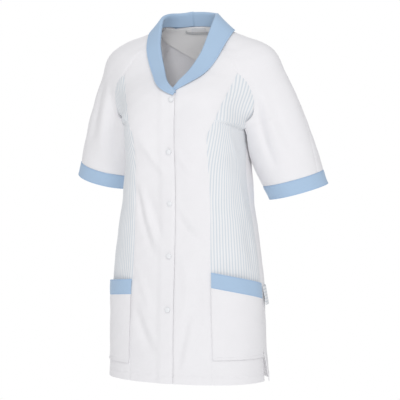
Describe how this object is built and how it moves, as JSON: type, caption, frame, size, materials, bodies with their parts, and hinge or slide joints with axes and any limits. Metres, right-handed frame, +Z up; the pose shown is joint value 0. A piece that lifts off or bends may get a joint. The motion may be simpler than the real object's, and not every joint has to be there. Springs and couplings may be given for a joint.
{
  "type": "medical tunic",
  "caption": "Hip-length short-sleeved work tunic in its worn shape: V neck with a flat roll collar, press-stud front, raglan sleeves with cuffs, striped side panels, banded patch pockets.",
  "frame": {"origin": "midway between the wearer's shoulders, level with the seam at the back of the neck", "axes": "+Z up the wearer's body, +Y towards the wearer's back, +X to the wearer's left; the front faces -Y"},
  "size_m": [0.5911, 0.2481, 0.8019],
  "materials": {
    "white_cloth": "matt twill",
    "striped_cloth": "matt, fine woven stripes",
    "blue_cloth": "matt twill",
    "pale_cloth": "matt plain weave",
    "snap_caps": "moulded, low gloss",
    "label_tape": "smooth satin tape, bare",
    "loop_tape": "narrow woven tape"
  },
  "bodies": {
    "root": {"back_left": "white_cloth", "back_right": "white_cloth", "back_belt": "striped_cloth", "back_neck_facing": "pale_cloth", "collar": "blue_cloth", "cuff_left": "blue_cloth", "cuff_right": "blue_cloth", "front_left": "white_cloth", "front_right": "white_cloth", "hanger_loop": "loop_tape", "lower_side_left": "white_cloth", "lower_side_right": "white_cloth", "pocket_band_left": "blue_cloth", "pocket_band_right": "blue_cloth", "pocket_left": "white_cloth", "pocket_right": "white_cloth", "side_left": "striped_cloth", "side_right": "striped_cloth", "size_label": "label_tape", "sleeve_front_left": "white_cloth", "sleeve_front_right": "white_cloth", "sleeve_back_left": "white_cloth", "sleeve_back_right": "white_cloth", "snap_1": "snap_caps", "snap_2": "snap_caps", "snap_3": "snap_caps", "snap_4": "snap_caps", "snap_5": "snap_caps"}
  },
  "joints": []
}
